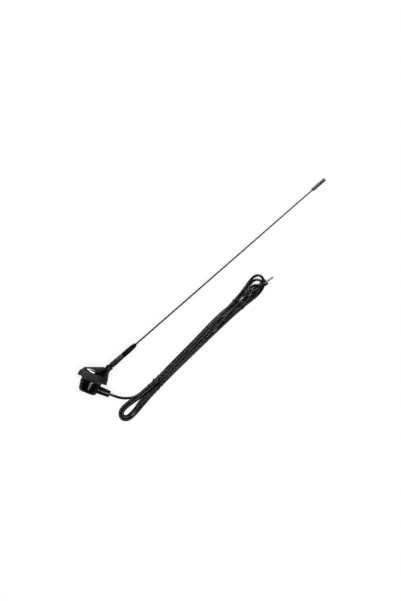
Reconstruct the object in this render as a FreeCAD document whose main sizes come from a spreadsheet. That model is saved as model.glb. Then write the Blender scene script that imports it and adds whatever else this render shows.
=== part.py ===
"""Universal car roof aerial lying on a table: hinged whip, oval foot, clamp cup, lead, tied hank and plug."""
import FreeCAD, Part
import Sketcher
import math
import os

os.makedirs("parts", exist_ok=True)
doc = FreeCAD.newDocument("aerial")
sheet = doc.addObject("Spreadsheet::Sheet", "Sizes")
VEC = FreeCAD.Vector
ACROSS = VEC(0, 1, 0)
UP = VEC(0, 0, 1)

# Lengths in mm, angles in degrees. Heights and depths count from the seat plane of the gasket.
SIZES = [
    ("seat_half_length", 23.3),
    ("oval_narrowing", 3.3),
    ("lip_inset", 0.9),
    ("lip_height", 8.8),
    ("wedge_angle", 2.3),
    ("seat_land", 2.6),
    ("hollow_depth", 0.8),
    ("floor_height", 3.0),
    ("wall_thickness", 2.8),
    ("rim_inset", 0.3),
    ("loose_fit", 0.2),
    ("shoulder_centre", 1.4),
    ("shoulder_height", 14.0),
    ("shoulder_inset", 3.4),
    ("shoulder_side_inset", 4.0),
    ("shoulder_round", 2.4),
    ("neck_half_length", 6.0),
    ("neck_half_width", 4.8),
    ("neck_behind_hinge", 3.3),
    ("neck_below_hinge", 1.8),
    ("cover_wall", 2.2),
    ("hinge_set_back", 6.4),
    ("hinge_height", 25.8),
    ("mast_lean", 27.35),
    ("fork_radius", 5.0),
    ("fork_width", 9.6),
    ("eye_radius", 3.5),
    ("tongue_width", 3.4),
    ("stop_gap", 0.15),
    ("stop_wall", 1.5),
    ("stop_top", 4.35),
    ("pivot_radius", 1.45),
    ("pivot_fit", 0.05),
    ("pivot_head_radius", 2.7),
    ("pivot_head_height", 1.6),
    ("pivot_nut_flats", 5.4),
    ("pivot_nut_height", 2.2),
    ("plate_thickness", 2.5),
    ("cover_screw_radius", 1.45),
    ("cover_screw_top", 11.2),
    ("screw_back_share", 0.67),
    ("screw_front_share", 0.54),
    ("screw_side_share", 0.59),
    ("bolt_radius", 3.0),
    ("bolt_head_flats", 10.0),
    ("bolt_head_height", 4.0),
    ("bush_flange_radius", 8.5),
    ("bush_flange_thickness", 1.4),
    ("bush_radius", 6.8),
    ("bush_depth", 4.0),
    ("cup_rim_depth", 3.4),
    ("washer_thickness", 0.9),
    ("washer_flat_radius", 14.8),
    ("tooth_radius", 16.3),
    ("tooth_rise", 1.9),
    ("cup_rim_radius", 16.2),
    ("cup_base_radius", 13.35),
    ("cup_depth", 21.3),
    ("cup_corner", 6.0),
    ("cup_wall", 2.0),
    ("nut_recess_radius", 7.0),
    ("nut_recess_roof", 16.3),
    ("cup_web", 2.5),
    ("outlet_depth", 10.2),
    ("outlet_radius", 6.0),
    ("outlet_reach", 17.0),
    ("spigot_reach", 24.0),
    ("spigot_radius", 3.6),
    ("sleeve_reach", 33.0),
    ("sleeve_end_radius", 5.2),
    ("cable_radius", 2.0),
    ("cable_fit", 0.05),
    ("mast_collar_start", 5.4),
    ("mast_shank_radius", 2.4),
    ("mast_shank_end", 38.0),
    ("sleeve_foot_radius", 4.5),
    ("rib_end", 16.4),
    ("sleeve_top_radius", 3.85),
    ("ferrule_start", 28.4),
    ("ferrule_radius", 3.95),
    ("ferrule_tip_radius", 2.9),
    ("ferrule_end", 54.3),
    ("rod_foot_radius", 1.3),
    ("rod_tip_radius", 1.0),
    ("cap_start", 406.0),
    ("cap_radius", 2.6),
    ("mast_end", 431.7),
    ("hank_height", 7.6),
    ("hump_height", 13.9),
    ("tie_width", 2.2),
    ("tie_thickness", 0.9),
    ("plug_collar_radius", 4.75),
    ("plug_body_radius", 4.2),
    ("plug_tail_radius", 2.7),
    ("plug_pin_radius", 1.55),
    ("plug_pin_reach", 12.0),
]


class Size:
    """A value of the sheet, or a sum of them, that carries its formula along."""

    def __init__(self, value, text):
        self.value = value
        self.text = text

    def __add__(self, other):
        return Size(self.value + number(other), "(%s + %s)" % (self.text, formula(other)))

    def __radd__(self, other):
        return self + other

    def __sub__(self, other):
        return Size(self.value - number(other), "(%s - %s)" % (self.text, formula(other)))

    def __rsub__(self, other):
        return Size(number(other) - self.value, "(%s - %s)" % (formula(other), self.text))

    def __mul__(self, other):
        return Size(self.value * number(other), "(%s * %s)" % (self.text, formula(other)))

    def __rmul__(self, other):
        return self * other

    def __truediv__(self, other):
        return Size(self.value / number(other), "(%s / %s)" % (self.text, formula(other)))

    def __neg__(self):
        return self * -1


def number(item):
    return item.value if isinstance(item, Size) else float(item)


def formula(item):
    return item.text if isinstance(item, Size) else "(%.6f)" % item


S = {}
for row, (alias, value) in enumerate(SIZES, 1):
    sheet.set("A%d" % row, alias)
    sheet.set("B%d" % row, str(value))
    sheet.setAlias("B%d" % row, alias)
    S[alias] = Size(value, "Sizes." + alias)
doc.recompute()


def bind(item, name, value):
    """Sets a property and links it to the sheet."""
    setattr(item, name, number(value))
    if isinstance(value, Size):
        item.setExpression(name, value.text)


def move(item, path, offset):
    """Links the three coordinates of a placement to the sheet."""
    for letter, value in zip("xyz", offset):
        if isinstance(value, Size):
            item.setExpression("%s.Base.%s" % (path, letter), value.text)


def new_sketch(body, role, rise, shift):
    drawing = body.newObject("Sketcher::SketchObject", body.Name + "_outline")
    plane = [item for item in body.Origin.OriginFeatures if item.Role == role][0]
    drawing.AttachmentSupport = [(plane, "")]
    drawing.MapMode = "FlatFace"
    offset = VEC(0, number(shift), number(rise))
    drawing.AttachmentOffset = FreeCAD.Placement(offset, FreeCAD.Rotation())
    move(drawing, "AttachmentOffset", (0, shift, rise))
    return drawing


def hold(drawing, index, point, across, up):
    """Fixes one point of the sketch to values of the sheet."""
    for kind, value in (("DistanceX", across), ("DistanceY", up)):
        rule = Sketcher.Constraint(kind, -1, 1, index, point, number(value))
        place = drawing.addConstraint(rule)
        if isinstance(value, Size):
            drawing.setExpression("Constraints[%d]" % place, value.text)


def polygon(body, role, corners, rise=0, shift=0):
    """Closed outline of straight edges on one of the body's own planes."""
    drawing = new_sketch(body, role, rise, shift)
    spots = [VEC(number(across), number(up), 0) for across, up in corners]
    count = len(spots)
    for index in range(count):
        drawing.addGeometry(Part.LineSegment(spots[index], spots[(index + 1) % count]))
    for index in range(count):
        drawing.addConstraint(Sketcher.Constraint("Coincident", index, 2, (index + 1) % count, 1))
    for index, (across, up) in enumerate(corners):
        hold(drawing, index, 1, across, up)
    return drawing


def ring(body, role, centre, radius, rise=0, shift=0):
    """Circle on one of the body's own planes."""
    drawing = new_sketch(body, role, rise, shift)
    middle = VEC(number(centre[0]), number(centre[1]), 0)
    drawing.addGeometry(Part.Circle(middle, UP, number(radius)))
    hold(drawing, 0, 3, centre[0], centre[1])
    place = drawing.addConstraint(Sketcher.Constraint("Radius", 0, number(radius)))
    if isinstance(radius, Size):
        drawing.setExpression("Constraints[%d]" % place, radius.text)
    return drawing


def free_curve(body, points):
    """Closed smooth outline through a list of measured points, on the body's ground plane."""
    drawing = new_sketch(body, "XY_Plane", 0, 0)
    curve = Part.BSplineCurve()
    curve.interpolate([VEC(across, up, 0) for across, up in points], PeriodicFlag=True)
    drawing.addGeometry(curve)
    return drawing


def turn(body, corners, axis="V_Axis", shift=0, cut=False):
    """Turned feature. The sketch lies upright and its second axis is the body's Z."""
    drawing = polygon(body, "XZ_Plane", corners, 0, shift)
    feature = body.newObject("PartDesign::Groove" if cut else "PartDesign::Revolution", body.Name + "_turned")
    feature.Profile = drawing
    feature.ReferenceAxis = (drawing, [axis])
    feature.Angle = 360
    return feature


def slab(body, drawing, thickness, cut=False):
    """Pad or pocket, half its thickness on each side of its sketch."""
    feature = body.newObject("PartDesign::Pocket" if cut else "PartDesign::Pad", body.Name + "_slab")
    feature.Profile = drawing
    feature.SideType = "Symmetric"
    bind(feature, "Length", thickness)
    return feature


def hexagon(flats):
    """Corners of a hexagon from its width across flats."""
    corners = []
    for step in range(6):
        angle = math.radians(60 * step)
        reach = flats / math.sqrt(3)
        corners.append((reach * round(math.cos(angle), 9), reach * round(math.sin(angle), 9)))
    return corners


def primitive(kind, name, sizes, offset=(0, 0, 0), rotation=None):
    """Part primitive with its sizes and its place linked to the sheet."""
    item = doc.addObject(kind, name)
    for key, value in sizes.items():
        bind(item, key, value)
    item.Placement = FreeCAD.Placement(VEC(*[number(value) for value in offset]), rotation or FreeCAD.Rotation())
    move(item, "Placement", offset)
    return item


def ellipse(name, half_length, half_width, height, centre=0, tilt=0):
    rotation = FreeCAD.Rotation(ACROSS, -number(tilt))
    sizes = {"MajorRadius": half_length, "MinorRadius": half_width}
    return primitive("Part::Ellipse", name, sizes, (centre, 0, height), rotation)


def loft(name, sections):
    item = doc.addObject("Part::Loft", name)
    item.Sections = sections
    item.Solid = True
    item.Ruled = True
    return item


def joined(name, pieces):
    item = doc.addObject("Part::MultiFuse", name)
    item.Shapes = pieces
    item.Refine = True
    return item


def cut(name, base, tool):
    item = doc.addObject("Part::Cut", name)
    item.Base = base
    item.Tool = tool
    return item


def post(name, radius, low, high, across=0, side=0):
    """Upright cylinder between two heights."""
    return primitive("Part::Cylinder", name, {"Radius": radius, "Height": high - low}, (across, side, low))


# Sizes that follow from others: the ovals of the foot, its neck and the place of the hinge.
seat_half_width = S["seat_half_length"] - S["oval_narrowing"]
lip_half_length = S["seat_half_length"] - S["lip_inset"]
lip_half_width = seat_half_width - S["lip_inset"]
shoulder_half_length = S["seat_half_length"] - S["shoulder_inset"]
shoulder_half_width = seat_half_width - S["shoulder_side_inset"]
hinge_reach = S["seat_half_length"] - S["hinge_set_back"]
neck_centre = hinge_reach - S["neck_behind_hinge"]
neck_height = S["hinge_height"] - S["neck_below_hinge"]

# Rest on the table: the foot stands on the edge of its seat and the mast tip touches down.
LEAN = number(S["mast_lean"])
lean = math.radians(LEAN)
half_seat = number(seat_half_width)
reach_plan = number(hinge_reach) * math.sin(lean) + number(S["hinge_height"]) * math.cos(lean)
touch = reach_plan + number(S["mast_end"]) - 1.5
droop = math.atan2(half_seat - number(S["cap_radius"]), touch)
seat_shape = number(S["seat_half_length"])
TABLE = -math.sqrt((seat_shape * math.sin(lean) * math.sin(droop)) ** 2 + (half_seat * math.cos(droop)) ** 2)
LYING = FreeCAD.Rotation(ACROSS, math.degrees(droop))
LYING = LYING.multiply(FreeCAD.Rotation(UP, LEAN - 90)).multiply(FreeCAD.Rotation(VEC(1, 0, 0), -90))
BASE = FreeCAD.Placement(VEC(0, 0, 0), LYING)
HINGE = VEC(number(hinge_reach), 0, number(S["hinge_height"]))
TO_MAST = FreeCAD.Placement(HINGE, FreeCAD.Rotation(ACROSS, LEAN))
MAST = BASE.multiply(TO_MAST)
CROSSWISE = FreeCAD.Rotation(VEC(1, 0, 0), -90)
PIVOT = BASE.multiply(FreeCAD.Placement(HINGE, CROSSWISE))
pieces = []


def finish(item, label, placement=None):
    """Names a piece, puts it in its place and checks it."""
    item.Label = label
    if placement:
        item.Placement = placement
    doc.recompute()
    if "Invalid" in item.State or "Error" in item.State or item.Shape.isNull() or not item.Shape.isValid():
        raise ValueError("%s is not sound: %s" % (label, item.State))
    pieces.append(item)
    return item


# Gasket: oval wedge with a flat seat ring, a hollow underside and a raised wall round the plate.
wedge = S["wedge_angle"]
pocket_half_length = lip_half_length - S["wall_thickness"]
pocket_half_width = lip_half_width - S["wall_thickness"]
gasket_foot = ellipse("gasket_foot", S["seat_half_length"], seat_half_width, 0)
gasket_lip = ellipse("gasket_lip", lip_half_length, lip_half_width, S["lip_height"], 0, wedge)
gasket_blank = loft("gasket_blank", [gasket_foot, gasket_lip])


def oval_block(name, half_length, half_width, low, high):
    """Upright oval block between two heights."""
    edge = ellipse(name + "_edge", half_length, half_width, low)
    block = doc.addObject("Part::Extrusion", name)
    block.Base = edge
    block.DirMode = "Custom"
    block.Dir = UP
    block.Solid = True
    bind(block, "LengthFwd", high - low)
    return block


underside = oval_block("underside", S["seat_half_length"] - S["seat_land"], seat_half_width - S["seat_land"],
                       -S["hollow_depth"], S["hollow_depth"])
plate_room = oval_block("plate_room", pocket_half_length, pocket_half_width, S["floor_height"],
                        S["lip_height"] * 2)
flange_bottom = S["floor_height"] - S["bush_flange_thickness"]
flange_room = post("flange_room", S["bush_flange_radius"] + S["loose_fit"], flange_bottom, S["floor_height"] + 1)
bush_room = post("bush_room", S["bush_radius"] + S["loose_fit"], -S["floor_height"], S["floor_height"] + 1)
gasket_rooms = joined("gasket_rooms", [underside, plate_room, flange_room, bush_room])
finish(cut("base_gasket", gasket_blank, gasket_rooms), "base_gasket", BASE)

# Cover: oval rim on the gasket, shoulder, roof drawn up to the neck, and the fork of the swivel on top.
rim = ellipse("cover_rim", lip_half_length - S["rim_inset"], lip_half_width - S["rim_inset"],
              S["lip_height"], 0, wedge)
round_off = S["shoulder_round"]
shoulder = [
    ellipse("shoulder_low", shoulder_half_length + 0.3, shoulder_half_width + 0.2,
            S["shoulder_height"] - round_off * 0.75, S["shoulder_centre"]),
    ellipse("shoulder_mid", shoulder_half_length - round_off * 0.05, shoulder_half_width - 0.1,
            S["shoulder_height"] - round_off * 0.15, S["shoulder_centre"] + round_off * 0.08),
    ellipse("shoulder_top", shoulder_half_length - round_off * 0.33,
            shoulder_half_width - round_off * 0.33, S["shoulder_height"] + round_off * 0.2,
            S["shoulder_centre"] + round_off * 0.3)]
neck = ellipse("cover_neck", S["neck_half_length"], S["neck_half_width"], neck_height, neck_centre)
cover_shell = loft("cover_shell", [rim] + shoulder + [neck])
plate_top = S["floor_height"] + S["plate_thickness"]
spigot = oval_block("cover_spigot", pocket_half_length - S["loose_fit"], pocket_half_width - S["loose_fit"],
                    plate_top, S["lip_height"] + 1.5)
hinge_at = (hinge_reach, -S["fork_width"] / 2, S["hinge_height"])
fork_disc = primitive("Part::Cylinder", "fork_disc", {"Radius": S["fork_radius"], "Height": S["fork_width"]},
                      hinge_at, CROSSWISE)
stop_width = S["eye_radius"] + S["stop_gap"] + S["stop_wall"]
stop_foot = S["eye_radius"] - 0.1
turned_lean = FreeCAD.Rotation(ACROSS, LEAN)
foot_at = (hinge_reach - stop_foot * math.sin(lean), -S["fork_width"] / 2,
           S["hinge_height"] - stop_foot * math.cos(lean))
fork_stop = primitive("Part::Box", "fork_stop",
                      {"Length": stop_width, "Width": S["fork_width"], "Height": S["stop_top"] + stop_foot},
                      foot_at, turned_lean)
cover_blank = joined("cover_blank", [cover_shell, spigot, fork_disc, fork_stop])

cavity_low = ellipse("cavity_low", pocket_half_length - S["cover_wall"], pocket_half_width - S["cover_wall"],
                     plate_top - 0.5)
cavity_mid = ellipse("cavity_mid", shoulder_half_length - S["cover_wall"] - 0.6,
                     shoulder_half_width - S["cover_wall"] - 0.4,
                     S["shoulder_height"] - S["cover_wall"], S["shoulder_centre"])
cavity_top = ellipse("cavity_top", S["neck_half_width"] / 2, S["neck_half_width"] / 2, neck_height - 3.8,
                     hinge_reach - 0.9)
cavity = joined("cavity", [loft("cavity_skirt", [cavity_low, cavity_mid]),
                           loft("cavity_roof", [cavity_mid, cavity_top])])
plate_half_length = pocket_half_length - S["loose_fit"]
plate_half_width = pocket_half_width - S["loose_fit"]
screw_back = plate_half_length * S["screw_back_share"]
screw_front = plate_half_length * S["screw_front_share"]
screw_side = plate_half_width * S["screw_side_share"]
screw_spots = [(-screw_back, 0), (screw_front, screw_side), (screw_front, -screw_side)]
boss_radius = S["cover_screw_radius"] * 2.2
bosses = [post("boss_%d" % index, boss_radius, plate_top, neck_height, across, side)
          for index, (across, side) in enumerate(screw_spots)]
bored_bosses = [post("boss_bore_%d" % index, S["cover_screw_radius"], plate_top - 1, S["cover_screw_top"] + 0.8,
                     across, side)
                for index, (across, side) in enumerate(screw_spots)]
hollow = cut("hollow", cavity, joined("boss_posts", bosses))
slot_width = S["tongue_width"] + S["loose_fit"]
slot_depth = S["eye_radius"] + S["loose_fit"]
slot_span = S["eye_radius"] + S["stop_gap"] + 12
slot_low_x = hinge_reach - math.cos(lean) * 12 - slot_depth * math.sin(lean)
slot_low_z = S["hinge_height"] + math.sin(lean) * 12 - slot_depth * math.cos(lean)
fork_slot = primitive("Part::Box", "fork_slot", {"Length": slot_span, "Width": slot_width, "Height": 20},
                      (slot_low_x, -slot_width / 2, slot_low_z), turned_lean)
strip_room = primitive("Part::Box", "strip_room", {"Length": 2, "Width": 3, "Height": 4.5},
                       (hinge_reach - 1, -1.5, neck_height - 5))
pivot_hole = primitive("Part::Cylinder", "pivot_hole",
                       {"Radius": S["pivot_radius"] + S["pivot_fit"], "Height": S["fork_width"] + 2},
                       (hinge_reach, -S["fork_width"] / 2 - 1, S["hinge_height"]), CROSSWISE)
head_room = primitive("Part::Cylinder", "head_room",
                      {"Radius": S["pivot_head_radius"] + S["pivot_fit"] * 2, "Height": S["pivot_head_height"] + 2},
                      (hinge_reach, -S["fork_width"] / 2 - 2, S["hinge_height"]), CROSSWISE)
nut_room = doc.addObject("Part::Prism", "nut_room")
nut_room.Polygon = 6
bind(nut_room, "Circumradius", (S["pivot_nut_flats"] + S["pivot_fit"] * 4) / math.sqrt(3))
bind(nut_room, "Height", S["pivot_nut_height"] + 2)
nut_room.Placement = FreeCAD.Placement(
    VEC(HINGE.x, number(S["fork_width"] / 2 - S["pivot_nut_height"]), HINGE.z), CROSSWISE)
move(nut_room, "Placement", (hinge_reach, S["fork_width"] / 2 - S["pivot_nut_height"], S["hinge_height"]))
cover_rooms = joined("cover_rooms", [hollow, fork_slot, strip_room, pivot_hole, head_room, nut_room] + bored_bosses)
finish(cut("base_cover", cover_blank, cover_rooms), "base_cover", BASE)

# Cross screw of the fork: slotted cheese head on the upper cheek, hexagon nut let into the other one.
half_fork = S["fork_width"] / 2
head_face = -half_fork
head_seat = head_face + S["pivot_head_height"]
screw = doc.addObject("PartDesign::Body", "swivel_screw")
turn(screw, [(0, head_face), (S["pivot_head_radius"] - 0.3, head_face), (S["pivot_head_radius"], head_face + 0.3),
             (S["pivot_head_radius"], head_seat), (S["pivot_radius"], head_seat),
             (S["pivot_radius"], half_fork - 0.3), (S["pivot_radius"] - 0.3, half_fork), (0, half_fork)])
slot = S["pivot_head_radius"] + 0.5
slab(screw, polygon(screw, "XY_Plane", [(-slot, -0.35), (slot, -0.35), (slot, 0.35), (-slot, 0.35)], head_face),
     S["pivot_head_height"], cut=True)
finish(screw, "swivel_screw", PIVOT)

nut = doc.addObject("PartDesign::Body", "swivel_nut")
slab(nut, polygon(nut, "XY_Plane", hexagon(S["pivot_nut_flats"]), half_fork - S["pivot_nut_height"] / 2),
     S["pivot_nut_height"])
slab(nut, ring(nut, "XY_Plane", (0, 0), S["pivot_radius"], half_fork), S["pivot_nut_height"] * 3, cut=True)
finish(nut, "swivel_nut", PIVOT)

# Plate under the cover, countersunk from below for the three cover screws.
plate_bottom = S["floor_height"]
plate_blank = oval_block("plate_blank", plate_half_length, plate_half_width, plate_bottom, plate_top)
sink_depth = S["cover_screw_radius"]
holes = [post("bolt_clearance", S["bolt_radius"] + S["loose_fit"], plate_bottom - 1, plate_top + 1)]
for index, (across, side) in enumerate(screw_spots):
    holes.append(post("screw_clearance_%d" % index, S["cover_screw_radius"] + 0.1, plate_bottom - 1,
                      plate_top + 1, across, side))
    sink = primitive("Part::Cone", "countersink_%d" % index,
                     {"Radius1": S["cover_screw_radius"] * 2 - 0.05, "Radius2": S["cover_screw_radius"] + 0.1,
                      "Height": sink_depth}, (across, side, plate_bottom))
    holes.append(sink)
finish(cut("base_plate", plate_blank, joined("plate_holes", holes)), "base_plate", BASE)


def cover_screw(name, across, side):
    """Countersunk screw, head down in the plate, thread up in the cover."""
    body = doc.addObject("PartDesign::Body", name)
    head = S["cover_screw_radius"] * 2 - 0.2
    low = plate_bottom + 0.05
    turn(body, [(0, low), (head, low), (S["cover_screw_radius"], low + sink_depth),
                (S["cover_screw_radius"], S["cover_screw_top"] - 0.6), (0.8, S["cover_screw_top"]),
                (0, S["cover_screw_top"])])
    slab(body, polygon(body, "XY_Plane", [(-4, -0.3), (4, -0.3), (4, 0.3), (-4, 0.3)], low), 1.4, cut=True)
    body.Placement = FreeCAD.Placement(VEC(number(across), number(side), 0), FreeCAD.Rotation())
    move(body, "Placement", (across, side, 0))
    return body


screws = doc.addObject("Part::Compound", "plate_screws")
screws.Links = [cover_screw("cover_screw_%d" % index, across, side)
                for index, (across, side) in enumerate(screw_spots)]
finish(screws, "plate_screws", BASE)

# Bolt with its hexagon head on the plate, down through roof, bush and cup.
bolt_end = S["cup_depth"] - 0.4
bolt = doc.addObject("PartDesign::Body", "mounting_bolt")
turn(bolt, [(0, plate_top), (S["bolt_radius"], plate_top), (S["bolt_radius"], 0.6 - bolt_end),
            (S["bolt_radius"] - 0.6, -bolt_end), (0, -bolt_end)])
slab(bolt, polygon(bolt, "XY_Plane", hexagon(S["bolt_head_flats"]), plate_top + S["bolt_head_height"] / 2),
     S["bolt_head_height"])
finish(bolt, "mounting_bolt", BASE)

# Contact strip: foot on the plate, sprung up to the eye of the swivel.
eye_bottom = S["hinge_height"] - S["eye_radius"]
strip_top = eye_bottom - 0.1
strip_bend = neck_height - 4.4
strip_foot = S["bolt_head_flats"] * 0.6 + 1
strip_heel = strip_foot + 4
strip = doc.addObject("PartDesign::Body", "contact_strip")
slab(strip, polygon(strip, "XZ_Plane", [
    (strip_foot, plate_top), (strip_heel, plate_top), (hinge_reach + 0.2, strip_bend),
    (hinge_reach + 0.2, strip_top), (hinge_reach - 0.2, strip_top), (hinge_reach - 0.2, strip_bend + 0.1),
    (strip_heel - 0.3, plate_top + 0.4), (strip_foot, plate_top + 0.4)]), 2.4)
finish(strip, "contact_strip", BASE)

# Bush: flange under the plate, body through the roof hole and the claw washer.
bush = doc.addObject("PartDesign::Body", "insulating_bush")
bush_bore = S["bolt_radius"] + S["loose_fit"]
turn(bush, [(bush_bore, -S["bush_depth"]), (S["bush_radius"] - 0.5, -S["bush_depth"]),
            (S["bush_radius"], 0.5 - S["bush_depth"]), (S["bush_radius"], flange_bottom),
            (S["bush_flange_radius"], flange_bottom), (S["bush_flange_radius"], S["floor_height"]),
            (bush_bore, S["floor_height"])])
finish(bush, "insulating_bush", BASE)

# Claw washer: flat ring on the rim of the cup, edge turned up and notched into teeth.
washer_low = -S["cup_rim_depth"]
washer_top = washer_low + S["washer_thickness"]
washer = doc.addObject("PartDesign::Body", "claw_washer")
turn(washer, [(S["bush_radius"] + S["loose_fit"], washer_low), (S["washer_flat_radius"], washer_low),
              (S["tooth_radius"], washer_low + S["tooth_rise"] - 0.3),
              (S["tooth_radius"] - 0.8, washer_low + S["tooth_rise"] + 0.5),
              (S["washer_flat_radius"] - 0.6, washer_top), (S["bush_radius"] + S["loose_fit"], washer_top)])
notch_reach = S["tooth_radius"] + 1
notch = slab(washer, polygon(washer, "XY_Plane", [(S["washer_flat_radius"] - 1.2, 0), (notch_reach, 2.1),
                                                  (notch_reach, -2.1)]), 20, cut=True)
teeth = washer.newObject("PartDesign::PolarPattern", "teeth")
teeth.Originals = [notch]
teeth.Axis = (washer.Origin.OriginFeatures[2], [""])
teeth.Angle = 360
teeth.Occurrences = 22
washer.Tip = teeth
finish(washer, "claw_washer", BASE)

# Cup: drawn wall, recess for the nut below, outlet boss and spigot on one side.
cup_low = -S["cup_depth"]
cup_rim = -S["cup_rim_depth"]
web_low = -S["nut_recess_roof"]
web_top = web_low + S["cup_web"]
core_radius = S["nut_recess_radius"] + S["cup_wall"]
bolt_hole = S["bolt_radius"] + S["loose_fit"]
cup = doc.addObject("PartDesign::Body", "lower_cup")
cup_shell = turn(cup, [
    (S["nut_recess_radius"], cup_low), (S["cup_base_radius"], cup_low), (S["cup_rim_radius"], cup_rim),
    (S["cup_rim_radius"] - S["cup_wall"], cup_rim), (S["cup_base_radius"] - S["cup_wall"] + 0.9, web_low + 1),
    (S["cup_base_radius"] - S["cup_wall"] - 0.6, web_low - 1.6), (core_radius, web_low - 2.2),
    (core_radius, web_top), (bolt_hole, web_top), (bolt_hole, web_low), (S["nut_recess_radius"], web_low)])
doc.recompute()
corner_edges = []
for index, edge in enumerate(cup_shell.Shape.Edges, 1):
    box = edge.BoundBox
    wide = abs(box.XMax - number(S["cup_base_radius"])) < 0.01
    if wide and abs(box.ZMin - number(cup_low)) < 0.01 and abs(box.ZMax - box.ZMin) < 0.01:
        corner_edges.append("Edge%d" % index)
corner = cup.newObject("PartDesign::Fillet", "cup_corner_round")
corner.Base = (cup_shell, corner_edges)
bind(corner, "Radius", S["cup_corner"])
outlet_axis = -S["outlet_depth"]
cable_bore = S["cable_radius"] + S["cable_fit"]
boss_start = S["cup_base_radius"] - 0.9
turn(cup, [(boss_start, cable_bore), (S["spigot_reach"], cable_bore), (S["spigot_reach"], S["spigot_radius"]),
           (S["outlet_reach"], S["spigot_radius"]), (S["outlet_reach"], S["outlet_radius"]),
           (boss_start, S["outlet_radius"])], "H_Axis", outlet_axis)
turn(cup, [(core_radius + 1, 0), (S["spigot_reach"] + 1, 0), (S["spigot_reach"] + 1, cable_bore),
           (core_radius + 1, cable_bore)], "H_Axis", outlet_axis, cut=True)
finish(cup, "lower_cup", BASE)

# Brass tag on the web of the cup, its ear bent up to the core of the cable.
lug_top = web_top + 0.8
ear_top = outlet_axis - 0.45
lug = doc.addObject("PartDesign::Body", "terminal_lug")
lug_radius = S["bolt_radius"] * 2.1
ear_face = core_radius - 0.6
turn(lug, [(S["bolt_radius"] + 0.1, web_top), (lug_radius, web_top), (lug_radius, lug_top),
           (S["bolt_radius"] + 0.1, lug_top)])
slab(lug, polygon(lug, "XZ_Plane", [(lug_radius - 0.8, web_top), (ear_face, web_top), (ear_face, ear_top),
                                    (ear_face - 0.8, ear_top), (ear_face - 0.8, lug_top),
                                    (lug_radius - 0.8, lug_top)]), 3)
finish(lug, "terminal_lug", BASE)

# Braid strap: clip round the braid and a strip up to the claw washer.
braid_radius = S["cable_radius"] * 0.8
core_radius_cable = S["cable_radius"] * 0.2
strap = doc.addObject("PartDesign::Body", "shield_strap")
turn(strap, [(10.4, braid_radius), (11.8, braid_radius), (11.8, braid_radius + 0.5), (10.4, braid_radius + 0.5)],
     "H_Axis", outlet_axis)
slab(strap, polygon(strap, "XZ_Plane", [(10.4, outlet_axis + braid_radius + 0.2),
                                        (11.0, outlet_axis + braid_radius + 0.2), (11.0, washer_low),
                                        (10.4, washer_low)]), 1.6)
finish(strap, "shield_strap", BASE)

# Split spring washer and nut in the recess of the cup.
spring_low = web_low - 1.2
spring = doc.addObject("PartDesign::Body", "spring_washer")
turn(spring, [(S["bolt_radius"] + 0.1, spring_low), (5.2, spring_low), (5.2, web_low),
              (S["bolt_radius"] + 0.1, web_low)])
slab(spring, polygon(spring, "XY_Plane", [(2, -0.4), (6, -0.1), (6, 0.7), (2, 0.4)], spring_low), 6, cut=True)
finish(spring, "spring_washer", BASE)

nut_low = spring_low - 3.1
clamp = doc.addObject("PartDesign::Body", "clamp_nut")
slab(clamp, polygon(clamp, "XY_Plane", hexagon(S["bolt_head_flats"]), (nut_low + spring_low) / 2),
     spring_low - nut_low)
slab(clamp, ring(clamp, "XY_Plane", (0, 0), S["bolt_radius"], nut_low), 12, cut=True)
finish(clamp, "clamp_nut", BASE)

# Strain relief over the spigot, tapering to the cable.
relief = doc.addObject("PartDesign::Body", "outlet_sleeve")
relief_end = S["sleeve_reach"]
turn(relief, [(S["outlet_reach"], S["spigot_radius"]), (S["spigot_reach"] + 0.3, S["spigot_radius"]),
              (S["spigot_reach"] + 0.3, cable_bore), (relief_end, cable_bore),
              (relief_end, S["sleeve_end_radius"] - 1.2), (relief_end - 0.4, S["sleeve_end_radius"] - 0.4),
              (relief_end - 1.2, S["sleeve_end_radius"]), (S["outlet_reach"], S["outlet_radius"])],
     "H_Axis", outlet_axis)
finish(relief, "outlet_sleeve", BASE)

# Cable inside sleeve and cup: jacket, braid, insulation and core laid bare in steps.
stripped = doc.addObject("PartDesign::Body", "cable_end")
turn(stripped, [(6.4, 0), (relief_end, 0), (relief_end, S["cable_radius"]), (12.4, S["cable_radius"]),
                (12.4, braid_radius), (10.2, braid_radius), (10.2, S["cable_radius"] * 0.55),
                (8.9, S["cable_radius"] * 0.55), (8.9, core_radius_cable), (6.4, core_radius_cable)],
     "H_Axis", outlet_axis)
finish(stripped, "cable_end", BASE)

# Swivel foot: flat tongue with its eye in the fork, round shank up into sleeve and ferrule.
tongue = doc.addObject("PartDesign::Body", "swivel_foot")
eye = S["eye_radius"]
slab(tongue, ring(tongue, "XZ_Plane", (0, 0), eye), S["tongue_width"])
slab(tongue, polygon(tongue, "XZ_Plane", [(-eye, 0), (eye, 0), (eye, S["mast_collar_start"]),
                                          (-eye, S["mast_collar_start"])]), S["tongue_width"])
flange_low = S["fork_radius"] + S["stop_gap"]
turn(tongue, [(0, flange_low), (eye, flange_low), (eye, S["mast_collar_start"]), (S["mast_shank_radius"], S["mast_collar_start"]),
              (S["mast_shank_radius"], S["mast_shank_end"] - 0.5),
              (S["mast_shank_radius"] - 0.5, S["mast_shank_end"]), (0, S["mast_shank_end"])])
slab(tongue, ring(tongue, "XZ_Plane", (0, 0), S["pivot_radius"] + 0.1), S["tongue_width"] * 3, cut=True)
finish(tongue, "swivel_foot", MAST)

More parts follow.
